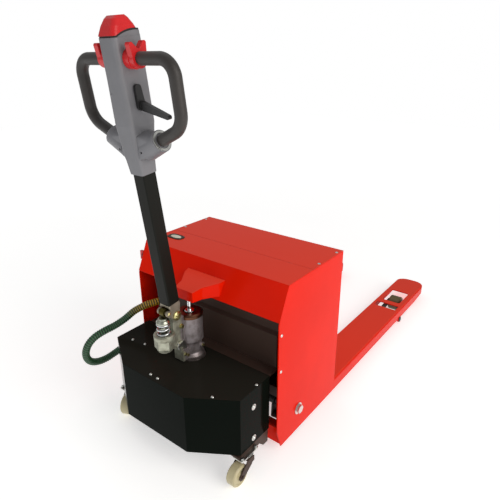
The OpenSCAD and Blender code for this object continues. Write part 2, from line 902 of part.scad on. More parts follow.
module drive_tyre() {
    r = drive_d / 2;
    w = drive_w / 2;
    color("#303030") translate([steer_x, 0, r]) rotate([90, 0, 0]) rotate_extrude()
        polygon([[r - 26, -w], [r - 6, -w], [r, 6 - w], [r, w - 6], [r - 6, w], [r - 26, w]]);
}

// Side view of the casting's web, from the cylinder to the tiller's eye and pump housing
module web_outline() {
    polygon([
        [pivot_x - 12, pivot_z - 10], [pivot_x - 12, housing_top - 3],
        [piston_x, housing_top - 40], [piston_x, housing_low + 8], [steer_x - 66, housing_low - 14],
        [steer_x - 62, cover_h + 6], [steer_x - 20, cover_h + 6],
        [steer_x - 20, barrel_top - 8], [pivot_x + 19, pivot_z - 2]
    ]);
    translate([pivot_x, pivot_z]) circle(19);
}

bleed_pos = [steer_x + 14, cover_h + 46];
bleed_reach = 43;

module pump_casting() {
    base_z = cover_h + 4;
    r = barrel_d / 2;
    waist = r - 8;
    bore = spring_d / 2 + gap + 0.5;
    color([0.62, 0.58, 0.52]) difference() {
        union() {
            // Cylinder with a waist above its base
            translate([steer_x, 0, 0]) rotate_extrude() polygon([
                [0, bearing_low], [r, bearing_low], [r, base_z + 6], [waist + 4, base_z + 11],
                [waist, base_z + 17], [waist, base_z + 54], [waist + 3, base_z + 60],
                [r - 1, base_z + 66], [r - 1, barrel_top], [0, barrel_top]
            ]);
            plate_xz(0, 30) web_outline();
            along_y(bleed_pos, 9, -bleed_reach, 0);
            // Valve block beside the waist
            translate([steer_x - 64, -22, cover_h + 6]) cube([40, 44, 40]);
            // Pump housing with its six-sided body
            translate([piston_x, 0, 0]) rotate_extrude() polygon([
                [0, housing_low], [21, housing_low], [25, housing_low + 3],
                [31, housing_low + 18], [31, housing_top - 20], [36, housing_top - 15],
                [36, housing_top - 3], [33, housing_top], [0, housing_top]
            ]);
            translate([piston_x, 0, housing_low + 17]) rotate(12)
                cylinder(h = housing_top - housing_low - 30, r = 35.5, $fn = 6);
        }
        translate([steer_x, 0, bearing_low + 20]) cylinder(h = 300, r = ram_d / 2 + 4);
        // Room for the gland above the cylinder
        translate([steer_x, 0, barrel_top]) cylinder(h = 60, r = r + 1 + gap);
        // Spring chamber round the piston's sleeve
        translate([piston_x, 0, 0]) rotate_extrude() polygon([
            [15, spring_low], [bore, spring_low], [bore, cup_z + 20], [0, cup_z + 20],
            [0, sleeve_top], [15, sleeve_top]
        ]);
        translate([piston_x, 0, housing_low + 5]) cylinder(h = 80, r = 10 + run);
        along_y([pivot_x, pivot_z], 8 + run, -40, 40);
        // Cored pockets on both sides of the web
        for (s = [-1, 1]) plate_xz(s * 12, 12) translate([steer_x - 63, barrel_top - 53])
            round_rect([28, 46], 6);
    }
}

// Screwed gland at the top of the cylinder, with the wiper's recess
module ram_gland() {
    r = barrel_d / 2;
    color("darkgoldenrod") translate([steer_x, 0, barrel_top]) difference() {
        union() {
            cylinder(h = 10, r = r + 1);
            translate([0, 0, 10]) cylinder(h = 5, r1 = r - 1, r2 = r - 6);
            translate([0, 0, -30]) cylinder(h = 30, r = ram_d / 2 + 4);
        }
        translate([0, 0, -31]) cylinder(h = 60, r = ram_d / 2 + run);
        translate([0, 0, 9]) cylinder(h = 10, r = ram_d / 2 + 6);
    }
}

// Bleed screw, web bolts and the plug screws of the valve block
module pump_bolts() {
    color("gold") {
        translate([bleed_pos[0], -bleed_reach, bleed_pos[1]]) rotate([90, 0, 0])
            cylinder(h = 6, r = 5.5, $fn = 6);
        both_sides() translate([steer_x - 58, 15, barrel_top - 16]) rotate([-90, 0, 0]) hex_head(13, 6, 9);
        for (p = [[-54, 34], [-42, 24]]) both_sides()
            translate([steer_x + p[0], 22, cover_h + p[1]]) rotate([-90, 0, 0])
                cylinder(h = 5, r = 6, $fn = 6);
    }
}

// Return spring of the pump piston
module pump_spring() {
    turns = 8;
    steps = 18;
    r = (spring_d - spring_wire) / 2;
    low = spring_low + spring_wire / 2 + 0.1;
    high = cup_z - spring_wire / 2 - 0.1;
    color("gainsboro") swept_tube([for (i = [0:turns * steps])
        [
            piston_x + r * cos(360 * i / steps), r * sin(360 * i / steps),
            low + (high - low) * i / (turns * steps)
        ]], spring_wire / 2, 8);
}

module pump_piston() {
    low = housing_low + 7 + piston_stroke;
    color("lightgray") translate([piston_x, 0, 0]) rotate_extrude() polygon([
        [0, low], [10, low], [10, cup_z], [23.5, cup_z], [23.5, cup_z + 5],
        [19, cup_z + 12], [16, cup_z + 13], [16, button_top - 2], [14, button_top],
        [0, button_top]
    ]);
}

module lift_ram() {
    r = ram_d / 2;
    neck_z = barrel_top + 18;
    color("silver") translate([steer_x, 0, 0]) {
        translate([0, 0, bearing_low + 24]) rotate_extrude() polygon([
            [0, 0], [r, 0], [r, neck_z - bearing_low - 26], [r - 2, neck_z - bearing_low - 24],
            [0, neck_z - bearing_low - 24]
        ]);
        translate([0, 0, neck_z]) cylinder(h = ram_top - ball_r - neck_z, r = 7);
        translate([0, 0, ram_top - ball_r]) sphere(ball_r);
    }
}

release_pos = [steer_x - 58, cover_h + 82];

// Lever that opens the lowering valve
module release_lever() {
    color("silver") {
        plate_xz(-19, 6) union() {
            link(release_pos, release_pos + [-22, -4], 9, 6);
            link(release_pos, release_pos + [8, -22], 8, 6);
        }
        translate([release_pos[0] - 22, -19, release_pos[1] - 16]) cylinder(h = 24, r = 3);
    }
}

// ---------- tiller ----------

rod_r = 1.5;

// Foot plate of the tube, just above the pump roller
foot_at = roller_arm * sin(roller_rise + tiller_lean) + pump_roller_d / 2 + 3;

module tiller_tube() {
    low = foot_at + 8;
    high = collar_at + 60;
    color([0.1, 0.1, 0.1]) on_tiller() difference() {
        translate([0, 0, low]) linear_extrude(high - low) difference() {
            round_rect([tube_w, tube_w], 5);
            round_rect([tube_w - 2 * tube_t, tube_w - 2 * tube_t], 2);
        }
    }
    // Guide of the release rod
    color([0.1, 0.1, 0.1]) on_tiller() translate([0, 0, 120]) difference() {
        linear_extrude(8) square(tube_w - 2 * tube_t, center = true);
        translate([0, 0, -1]) cylinder(h = 10, r = rod_r + run);
    }
}

// Foot of the tiller: cheeks round the pivot and the roller's pin
module tiller_base() {
    cheek_t = 7;
    cheek_y = tube_w / 2 - cheek_t / 2;
    turn = 180 - roller_rise - tiller_lean;
    pin = roller_arm * [cos(turn), sin(turn)];
    color([0.12, 0.12, 0.12]) on_tiller() difference() {
        union() {
            translate([0, 0, foot_at]) linear_extrude(8) round_rect([tube_w, tube_w], 5);
            for (s = [-1, 1]) plate_xz(s * cheek_y, cheek_t) union() {
                circle(14);
                link([0, 0], pin, 14, 11);
                polygon([[-14, 0], [14, 0], [tube_w / 2, foot_at], [-tube_w / 2, foot_at]]);
            }
            along_y(pin, 5, -cheek_y, cheek_y);
            both_sides() along_y(pin, 8, pump_roller_w / 2 + gap, cheek_y);
        }
        along_y([0, 0], 8, -tube_w, tube_w);
        translate([0, 0, foot_at - 1]) cylinder(h = 10, r = 6);
    }
}

module tiller_pivot_bolt() {
    color("gold") translate([pivot_x, 0, pivot_z]) {
        along_y([0, 0], 8, -tube_w / 2, tube_w / 2);
        both_sides() translate([0, tube_w / 2, 0]) rotate([-90, 0, 0]) difference() {
            union() {
                cylinder(h = 3, r = 17);
                translate([0, 0, 3]) dome_head(15, 5);
            }
            // Cross recess
            for (a = [20, 110]) rotate(a) translate([-11, -1.75, 5]) cube([22, 3.5, 6]);
        }
    }
    // Riveted ends of the roller's pin
    color("gold") both_sides() translate([roller_pos[0], tube_w / 2, roller_pos[1]])
        rotate([-90, 0, 0]) dome_head(7, 3.5);
}

module tiller_roller() {
    half = pump_roller_w / 2;
    color("goldenrod") difference() {
        along_y(roller_pos, pump_roller_d / 2, -half, half);
        along_y(roller_pos, 5 + run, -50, 50);
    }
}

// Rod in the tube that carries the lowering lever's pull to the valve
module release_rod() {
    low = foot_at - 4;
    color("silver") on_tiller() translate([0, 0, low]) cylinder(h = lever_at - low, r = rod_r);
}

// ---------- control head ----------

lever_at = grip_at - 118;
shoulder_r = 31;
button_travel = 4;
button_gap = button_travel + gap;
arch_rise = 13;
arch_x = head_depth / 2 - 20;
arch_half = arch_x + head_front - 9;
arch_r = (arch_half * arch_half + arch_rise * arch_rise) / (2 * arch_rise);
arch_u = cap_at + arch_rise - arch_r;
boss_w = 100;
loop_turn = 65;
loop_low_r = 60;
loop_low_u = grip_at - 128;
loop_end = [
    grip_reach - loop_low_r * (1 - cos(loop_turn)), loop_low_u - loop_low_r * sin(loop_turn)
];
boss_at = loop_end[1] - (loop_end[0] - boss_w) / tan(loop_turn);

// Face of the left shoulder where the handle enters, Z along the handle
module boss_place() {
    translate([0, boss_w, boss_at]) rotate([-loop_turn, 0, 0]) children();
}

// Thin slice of the head at height u: half width w, front and back depths
module head_slice(u, w, front, back, r) {
    translate([(back - front) / 2, 0, u]) linear_extrude(0.2)
        round_rect([front + back, 2 * w], r, $fn = 32);
}

module head_housing() {
    w = head_w / 2;
    f = head_front;
    b = head_depth - head_front;
    waist_at = grip_at - 50;
    lip = 1;
    color([0.42, 0.42, 0.43]) on_tiller() difference() {
        union() {
            // Collar and neck round the tube
            hull() {
                head_slice(collar_at, tube_w / 2 + 4, tube_w / 2 + 6, tube_w / 2 + 2, 7);
                head_slice(boss_at - 50, tube_w / 2 + 8, tube_w / 2 + 12, tube_w / 2 + 5, 10);
            }
            // Shoulders swept down into the neck
            hull() {
                head_slice(boss_at - 56, tube_w / 2 + 7, tube_w / 2 + 9, tube_w / 2 + 4, 10);
                head_slice(boss_at + 12, w, f - 9, b - 16, 12);
                both_sides() boss_place() translate([0, 0, -12])
                    cylinder(h = 0.5, r = shoulder_r - 1.5, $fn = 32);
            }
            // Round sockets of the handle
            both_sides() boss_place() translate([0, 0, -66])
                cylinder(h = 66, r1 = shoulder_r + 3, r2 = shoulder_r);
            // Lower body, deepest at the shoulders
            hull() {
                head_slice(boss_at - 54, tube_w / 2 + 7, tube_w / 2 + 13, tube_w / 2 + 5, 10);
                head_slice(boss_at + 40, w + 3, f + 3, b - 5, 13);
                head_slice(waist_at, w, f + 1, b - 1, 13);
            }
            // Upper body between the throttles
            hull() {
                head_slice(waist_at, w, f + 1, b - 1, 13);
                head_slice(cap_at - button_gap, w, f, b, 13);
            }
            // Side walls that rise towards the back under the button's arches
            intersection() {
                translate([(b - f) / 2, 0, cap_at - 20]) linear_extrude(40)
                    round_rect([f + b - 2 * lip, 2 * (w - lip)], 11);
                along_y([arch_x, arch_u], arch_r - button_gap, -w - 1, w + 1);
            }
            // Plug in the front face
            translate([-f, 20, waist_at - 36]) rotate([0, -90, 0]) dome_head(5, 4);
            translate([0, 0, cap_at - button_gap]) hull() {
                head_slice(0, w - 5, f - 5, b - 8, 10);
                head_slice(18, w - 9, f - 13, b - 20, 10);
            }
        }
        // Socket of the tube
        translate([0, 0, collar_at - 1]) linear_extrude(61) round_rect([tube_w, tube_w], 5);
        // Space for the rod and the lever's spindle
        translate([0, 0, collar_at + 50]) cylinder(h = lever_at - collar_at - 30, r = 9);
        both_sides() along_y([0, grip_at], 12, w - 22, w + 20);
        along_y([0, lever_at], 5 + run, -60, 0);
        both_sides() boss_place() translate([0, 0, -20]) cylinder(h = 30, r = 12);
        // Screw holes of the shoulders
        both_sides() translate([-f - 20, 46, boss_at - 30]) rotate([0, 90, 0])
            cylinder(h = f, r = 3.5);
    }
}

// Reversing button that caps the head
module belly_button() {
    w = head_w / 2;
    f = head_front;
    b = head_depth - head_front;
    color("red") on_tiller() difference() {
        hull() {
            head_slice(cap_at, w + 0.5, f + 1, b - 2, 14);
            head_slice(cap_at + 22, w - 4, f - 9, b - 12, 14);
            head_slice(cap_at + 38, w - 10, f - 20, b - 22, 12);
            head_slice(cap_at + 45, w - 15, f - 29, b - 30, 8);
        }
        hull() {
            head_slice(cap_at - 1, w - 4, f - 4, b - 6, 10);
            head_slice(cap_at + 14 + button_gap, w - 8, f - 12, b - 18, 10);
        }
        along_y([arch_x, arch_u], arch_r, -2 * w, 2 * w);
    }
}

// Butterfly throttle round the handle's upper end
module throttle() {
    side = head_w / 2 + gap;
    roll_w = throttle_w - 17;
    color("crimson") on_tiller() difference() {
        union() {
            along_y([0, grip_at], 26, side, side + roll_w);
            plate_xz(side + roll_w + 8.5, 17) translate([0, grip_at]) {
                circle(24);
                link([-7, 4], [-21, 35], 16, 6);
                link([7, 4], [21, 35], 16, 6);
            }
        }
        along_y([0, grip_at], 12 + run, 0, 100);
    }
}

module throttle_left() {
    throttle();
}

module throttle_right() {
    mirror([0, 1, 0]) throttle();
}

// Finger lever on the operator's right, bent out towards the grip
module lowering_lever() {
    w = head_w / 2 + 4 + gap;
    root = [-w - 13, lever_at];
    color("black") on_tiller() {
        along_y([0, lever_at], 5, -w - 8, -8);
        plate_xz(-w - 4, 8) link([0, lever_at], [-2, lever_at + 46], 13, 10);
        translate([-6, 0, 0]) rotate([90, 0, 90]) linear_extrude(12)
            link(root, root - lever_len * [cos(15), sin(15)], 12, 6);
    }
}
lever_len = 94;

// Bare steel end, rubber run, corner, grip, corner, run down and bare steel end
module handle_loop() {
    top_r = 45;
    r = grip_d / 2;
    start = head_w / 2 + gap + throttle_w + 1;
    run_in = (loop_end[0] - boss_w) / sin(loop_turn) - 3;
    color([0.22, 0.17, 0.15]) on_tiller() {
        along_y([0, grip_at], 12, head_w / 2 - 22, start);
        along_y([0, grip_at], r, start, grip_reach - top_r);
        translate([0, grip_reach - top_r, grip_at - top_r]) rotate([0, -90, 0])
            rotate_extrude(angle = 90) translate([top_r, 0]) circle(r);
        translate([0, grip_reach, loop_low_u]) cylinder(h = grip_at - top_r - loop_low_u, r = r);
        translate([0, grip_reach - loop_low_r, loop_low_u]) rotate([0, -90, 0])
            rotate_extrude(angle = loop_turn, start = 90) translate([loop_low_r, 0]) circle(r);
        boss_place() {
            translate([0, 0, 1]) cylinder(h = run_in + 2, r = r);
            translate([0, 0, -20]) cylinder(h = 21, r = 12);
        }
    }
}

module handle_loop_left() {
    handle_loop();
}

module handle_loop_right() {
    mirror([0, 1, 0]) handle_loop();
}

// Pale rings where the handle enters the shoulders
module loop_ferrules() {
    color("gainsboro") on_tiller() both_sides() boss_place() difference() {
        cylinder(h = 3, r = shoulder_r - 3);
        translate([0, 0, -1]) cylinder(h = 5, r = shoulder_r - 9);
    }
}

// ---------- hose ----------

hose_r = 12;
hose_route = [
    [-390, 235, 452], [-406, 235, 452], [-438, 242, 453], [-472, 264, 446], [-505, 292, 426],
    [-538, 316, 396], [-576, 330, 380], [-620, 338, 374], [-656, 350, 360],
    [-680, 362, 334], [-688, 374, 298], [-680, 384, 262], [-658, 392, 232],
    [-626, 396, 214], [-590, 394, 210], [-556, 385, 220], [-534, 369, 237],
    [-520, 352, 251], [-514, 338, 258], [-514, 321, 258]
];

hose_end = hose_route[len(hose_route) - 1];

module hose() {
    color([0.05, 0.2, 0.12]) translate([rear_x, 0, 0]) swept_tube(hose_route, hose_r, 10);
}

module hose_glands() {
    color("black") {
        translate([mast_x, hose_route[0][1], hose_route[0][2]]) rotate([0, -90, 0])
            cylinder(h = 14, r = 17);
        translate([rear_x + hose_end[0], cover_w / 2, hose_end[2]]) rotate([-90, 0, 0])
            cylinder(h = 14, r = 17);
    }
}

// ---------- selection ----------

drive_frame();
drive_cover();
mast_plate();
cover_bolts();
steer_bearing_outer();
castor_heads();
hose();
hose_glands();
castor_fork_left();
castor_fork_right();
castor_wheel_left();
castor_wheel_right();
steer_bearing_inner();
drive_yoke();
drive_axle();
pump_casting();
ram_gland();
pump_bolts();
pump_spring();
drive_wheel_hub();
drive_tyre();
lift_ram();
pump_piston();
release_lever();
tiller_tube();
tiller_base();
tiller_pivot_bolt();
tiller_roller();
head_housing();
belly_button();
throttle_left();
throttle_right();
lowering_lever();
handle_loop_left();
handle_loop_right();
loop_ferrules();
release_rod();
body_shell();
battery_lid();
panel_screws();
fork_left();
fork_right();
lift_nose();
cross_member();
battery_tray();
batteries();
controller();
gauge_bezel();
gauge_lens();
isolator_collar();
isolator_key();
crank_bolts();
fork_axles();
crank_shaft();
push_rod_left();
push_rod_right();
roller_arm_left();
roller_arm_right();
load_roller_left();
load_roller_right();
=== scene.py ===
"""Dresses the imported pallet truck: stage, ribbed hose, enamels, castings, moulded head, rubber grips, pump
spring, battery gauge and the seal under the reversing button."""

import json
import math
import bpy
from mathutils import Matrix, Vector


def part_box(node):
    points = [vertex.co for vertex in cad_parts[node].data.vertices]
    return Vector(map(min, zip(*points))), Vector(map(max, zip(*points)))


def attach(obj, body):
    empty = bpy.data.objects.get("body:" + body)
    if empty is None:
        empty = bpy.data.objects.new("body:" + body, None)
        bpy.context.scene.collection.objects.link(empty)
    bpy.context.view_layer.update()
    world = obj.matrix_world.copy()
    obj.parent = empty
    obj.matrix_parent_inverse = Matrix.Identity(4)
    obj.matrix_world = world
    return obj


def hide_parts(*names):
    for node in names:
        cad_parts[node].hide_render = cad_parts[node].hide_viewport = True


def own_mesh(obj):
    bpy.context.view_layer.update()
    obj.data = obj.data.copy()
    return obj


bl_info = {
    "name": "Pallet Truck Finishes",
    "version": (1, 0, 0),
    "blender": (4, 5, 0),
    "location": "View3D > Sidebar > Truck",
    "description": "Adds the finishes and the moulded, wound and flexible pieces of a powered pallet truck",
    "category": "Object",
}

import bmesh
import bpy
import numpy as np
from mathutils import Matrix, Vector

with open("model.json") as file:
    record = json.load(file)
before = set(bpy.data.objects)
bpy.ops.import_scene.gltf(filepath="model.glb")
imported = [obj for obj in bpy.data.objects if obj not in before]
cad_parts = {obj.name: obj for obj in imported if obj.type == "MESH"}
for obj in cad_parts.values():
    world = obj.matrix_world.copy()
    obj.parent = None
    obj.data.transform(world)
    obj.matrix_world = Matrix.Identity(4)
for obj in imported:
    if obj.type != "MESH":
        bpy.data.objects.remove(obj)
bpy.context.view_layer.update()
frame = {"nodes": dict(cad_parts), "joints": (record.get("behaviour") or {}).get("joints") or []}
NODES = frame["nodes"]
JOINTS = {joint["name"]: joint for joint in frame["joints"]}

# The hose's route in metres, the same points as in the part's source, from the gland on the mast plate
# to the gland on the cover's left side. REAR_X is the body's rear face.
REAR_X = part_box("body_shell")[1].x
HOSE_ROUTE = [
    (-0.390, 0.235, 0.452), (-0.406, 0.235, 0.452), (-0.438, 0.242, 0.453), (-0.472, 0.264, 0.446),
    (-0.505, 0.292, 0.426), (-0.538, 0.316, 0.396), (-0.576, 0.330, 0.380), (-0.620, 0.338, 0.374),
    (-0.656, 0.350, 0.360), (-0.680, 0.362, 0.334), (-0.688, 0.374, 0.298), (-0.680, 0.384, 0.262),
    (-0.658, 0.392, 0.232), (-0.626, 0.396, 0.214), (-0.590, 0.394, 0.210), (-0.556, 0.385, 0.220),
    (-0.534, 0.369, 0.237), (-0.520, 0.352, 0.251), (-0.514, 0.338, 0.258), (-0.514, 0.321, 0.258),
]
HOSE_POINTS = np.array(HOSE_ROUTE) + np.array([REAR_X, 0.0, 0.0])

# The tiller's own frame: origin at its pivot, U along the tube, X away from the operator, Y to the left
PIVOT = np.array(JOINTS["tiller_swing"]["pos_m"])
LEAN = math.radians(7.5)
TILLER_U = np.array([-math.sin(LEAN), 0.0, math.cos(LEAN)])
TILLER_X = np.array([math.cos(LEAN), 0.0, math.sin(LEAN)])


def linear(hex_colour):
    """sRGB hex to linear RGBA: each channel c becomes c/12.92, or ((c + 0.055) / 1.055) to the power 2.4."""
    channels = [int(hex_colour[i:i + 2], 16) / 255 for i in (1, 3, 5)]
    return tuple(c / 12.92 if c <= 0.04045 else ((c + 0.055) / 1.055) ** 2.4 for c in channels) + (1.0,)


# ---------- properties ----------


class TruckPaints(bpy.types.PropertyGroup):
    body_red: bpy.props.FloatVectorProperty(
        name="Body red", description="Enamel of the body, lid, nose and forks",
        default=linear("#e41d04")[:3], subtype="COLOR", size=3, min=0, max=1)
    cover_black: bpy.props.FloatVectorProperty(
        name="Cover black", description="Enamel of the drive cover",
        default=linear("#0c110d")[:3], subtype="COLOR", size=3, min=0, max=1)
    head_grey: bpy.props.FloatVectorProperty(
        name="Head grey", description="Moulded housing of the control head",
        default=linear("#747478")[:3], subtype="COLOR", size=3, min=0, max=1)
    button_red: bpy.props.FloatVectorProperty(
        name="Button red", description="Moulded button and throttles",
        default=linear("#cf1f22")[:3], subtype="COLOR", size=3, min=0, max=1)


class TruckSizes(bpy.types.PropertyGroup):
    hose_rib: bpy.props.FloatProperty(
        name="Hose rib pitch", description="Distance between two ribs of the hose",
        default=0.0085, min=0.004, max=0.02, unit="LENGTH")
    edge_round: bpy.props.FloatProperty(
        name="Edge rounding", description="Radius that the paint leaves on folded edges",
        default=0.003, min=0.0005, max=0.006, unit="LENGTH")
    spring_turns: bpy.props.IntProperty(
        name="Spring turns", description="Turns of the pump's return spring",
        default=6, min=4, max=10)


def paints():
    """The scene's colours."""
    return bpy.context.scene.truck_paints


def sizes():
    """The scene's sizes."""
    return bpy.context.scene.truck_sizes


def rgba(colour):
    """Linear RGB with full alpha."""
    return tuple(colour) + (1.0,)


# ---------- meshes ----------


def grid_piece(name, points, close_u=False, close_v=False, caps=False, smooth=True):
    """Mesh of a grid of points (rows, columns, 3): each cell of four neighbours is a face, and a closed
    direction joins its last row or column to its first. With caps, the first and last rows are closed."""
    rows, cols = points.shape[:2]
    r = np.arange(rows if close_u else rows - 1)
    c = np.arange(cols if close_v else cols - 1)
    a = r[:, None] * cols + c[None, :]
    b = r[:, None] * cols + (c[None, :] + 1) % cols
    up = ((r + 1) % rows)[:, None] * cols
    faces = np.stack([a, b, up + (c[None, :] + 1) % cols, up + c[None, :]], axis=-1).reshape(-1, 4).tolist()
    if caps:
        faces.append(list(range(cols))[::-1])
        faces.append([(rows - 1) * cols + k for k in range(cols)])
    mesh = bpy.data.meshes.new(name)
    mesh.from_pydata(points.reshape(-1, 3).tolist(), [], faces)
    mesh.validate()
    mesh.polygons.foreach_set("use_smooth", np.full(len(mesh.polygons), smooth))
    obj = bpy.data.objects.new(name, mesh)
    bpy.context.scene.collection.objects.link(obj)
    return obj


def face_out(obj):
    """Turns every face of a closed mesh outwards."""
    bm = bmesh.new()
    bm.from_mesh(obj.data)
    bmesh.ops.recalc_face_normals(bm, faces=bm.faces)
    bm.to_mesh(obj.data)
    bm.free()
    return obj


def smooth_line(points, count):
    """Evenly spaced points on a Catmull-Rom spline: between two given points the curve is a cubic whose
    ends follow the lines through their neighbours, and the result is measured out by arc length. Returns
    the points and the length."""
    steps = 40
    p = np.vstack([2 * points[0] - points[1], points, 2 * points[-1] - points[-2]])
    t = np.linspace(0, 1, steps, endpoint=False)[:, None]
    parts = []
    for i in range(1, len(p) - 2):
        a, b, c, d = p[i - 1], p[i], p[i + 1], p[i + 2]
        parts.append(0.5 * (2 * b + (c - a) * t + (2 * a - 5 * b + 4 * c - d) * t**2
                            + (3 * b - a - 3 * c + d) * t**3))
    dense = np.vstack(parts + [p[-2][None]])
    run = np.concatenate([[0], np.cumsum(np.linalg.norm(np.diff(dense, axis=0), axis=1))])
    want = np.linspace(0, run[-1], count)
    return np.stack([np.interp(want, run, dense[:, k]) for k in range(3)], axis=1), run[-1]


def carried_frame(line):
    """Two unit vectors square to the line at each point, carried along it without twist."""
    t = np.gradient(line, axis=0)
    t /= np.linalg.norm(t, axis=1)[:, None]
    n = np.zeros_like(t)
    # The start may point anywhere but along the line
    v = np.array([0.3, 0.2, 1.0])
    for i in range(len(t)):
        v = v - (v @ t[i]) * t[i]
        v = v / np.linalg.norm(v)
        n[i] = v
    return n, np.cross(t, n)


def tube_grid(line, radius, sides):
    """Points round a line: at each point a ring of that radius, where radius is one value a row or a
    table of rows by sides."""
    n, b = carried_frame(line)
    angle = np.arange(sides) * 2 * np.pi / sides
    radius = np.asarray(radius, float)
    radius = np.broadcast_to(radius[:, None] if radius.ndim == 1 else radius, (len(line), sides))
    ring = np.cos(angle)[None, :, None] * n[:, None, :] + np.sin(angle)[None, :, None] * b[:, None, :]
    return line[:, None, :] + radius[:, :, None] * ring


def on_tiller(x, y, u):
    """Points of the tiller's own frame, in the truck's frame."""
    x, y, u = np.broadcast_arrays(x, y, u)
    left = np.array([0.0, 1.0, 0.0])
    return PIVOT + x[..., None] * TILLER_X + y[..., None] * left + u[..., None] * TILLER_U


# ---------- materials ----------


def add(tree, kind, links=(), **settings):
    """Adds a node: settings name its attributes or its input sockets, where _7 is the socket numbered 7,
    and links are (socket, source) pairs."""
    made = tree.nodes.new("ShaderNode" + kind)
    for key, value in settings.items():
        socket = key.replace("_", " ")
        if hasattr(made, key) and key not in made.inputs:
            setattr(made, key, value)
        elif socket in made.inputs:
            made.inputs[socket].default_value = value
        else:
            made.inputs[int(key[1:])].default_value = value
    for socket, source in links:
        tree.links.new(source, made.inputs[socket])
    return made


def new_material(name):
    """Empty material with its shader and output joined."""
    material = bpy.data.materials.new(name)
    material.use_nodes = True
    tree = material.node_tree
    tree.nodes.clear()
    shader = add(tree, "BsdfPrincipled")
    out = add(tree, "OutputMaterial")
    tree.links.new(shader.outputs["BSDF"], out.inputs["Surface"])
    return material, tree, shader


def surface_relief(tree, shader, scale, depth, edge=0.0, detail=3.0, stretch=(1, 1, 1)):
    """Small relief on the shader: noise of that scale per metre and depth in metres, over edges rounded by
    that radius. Returns the coordinates that it lies on."""
    place = add(tree, "TexCoord")
    spread = add(tree, "Mapping", [("Vector", place.outputs["Object"])], Scale=stretch)
    grain = add(tree, "TexNoise", [("Vector", spread.outputs["Vector"])], Scale=scale, Detail=detail)
    bump = add(tree, "Bump", [("Height", grain.outputs["Fac"])], Strength=1.0, Distance=depth)
    if edge:
        rounded = add(tree, "Bevel", Radius=edge, samples=4)
        tree.links.new(rounded.outputs["Normal"], bump.inputs["Normal"])
    tree.links.new(bump.outputs["Normal"], shader.inputs["Normal"])
    return place


def varied(tree, shader, place, colour, scale, spread, rough, rough_spread):
    """Slow drift of colour and roughness over the surface, both driven by one broad noise."""
    broad = add(tree, "TexNoise", [("Vector", place.outputs["Object"])], Scale=scale, Detail=4.0)
    dark = tuple(c * (1 - spread) for c in colour[:3]) + (1.0,)
    light = tuple(min(1.0, c * (1 + spread)) for c in colour[:3]) + (1.0,)
    drift = add(tree, "ValToRGB", [("Fac", broad.outputs["Fac"])])
    first, last = drift.color_ramp.elements
    first.position, last.position = 0.35, 0.65
    first.color, last.color = dark, light
    tree.links.new(drift.outputs["Color"], shader.inputs["Base Color"])
    level = add(tree, "MapRange", [("Value", broad.outputs["Fac"])], From_Min=0.3, From_Max=0.7,
                To_Min=rough - rough_spread, To_Max=rough + rough_spread)
    tree.links.new(level.outputs["Result"], shader.inputs["Roughness"])


def sprayed_enamel(name, colour, rough=0.3, edge=None, gloss=0.5, top_sheen=None):
    """Sprayed enamel on pressed steel: glossy, with a faint orange peel about 3 mm across, drawn coarser than
    the real 1 mm so that it shows, and soft light along its folds. Faces that look up carry a second colour,
    a painted sheen: the light they reflect from above painted into their colour."""
    material, tree, shader = new_material(name)
    place = surface_relief(tree, shader, scale=330.0, depth=0.00005,
                           edge=sizes().edge_round if edge is None else edge)
    varied(tree, shader, place, colour, scale=5.0, spread=0.04, rough=rough, rough_spread=0.04)
    if top_sheen:
        # Painted sheen: faces whose normal points up are mixed towards the second colour, which stands in for
        # the light they reflect from above
        face = add(tree, "SeparateXYZ", [("Vector", add(tree, "NewGeometry").outputs["Normal"])])
        up = add(tree, "MapRange", [("Value", face.outputs["Z"])], From_Min=0.6, From_Max=0.95)
        unsheened = shader.inputs["Base Color"].links[0].from_socket
        with_top_sheen = add(tree, "Mix", [(0, up.outputs["Result"]), (6, unsheened)], data_type="RGBA", _7=top_sheen)
        tree.links.new(with_top_sheen.outputs[2], shader.inputs["Base Color"])
    shader.inputs["IOR"].default_value = 1.5
    shader.inputs["Specular IOR Level"].default_value = gloss
    return material


def sand_cast(name, colour):
    """Sand-cast metal, bare or thinly painted: a grainy skin of about 2 mm with a dull, patchy sheen."""
    material, tree, shader = new_material(name)
    place = surface_relief(tree, shader, scale=420.0, depth=0.00035, edge=0.002, detail=5.0)
    varied(tree, shader, place, colour, scale=28.0, spread=0.16, rough=0.46, rough_spread=0.08)
    shader.inputs["Metallic"].default_value = 0.75
    return material


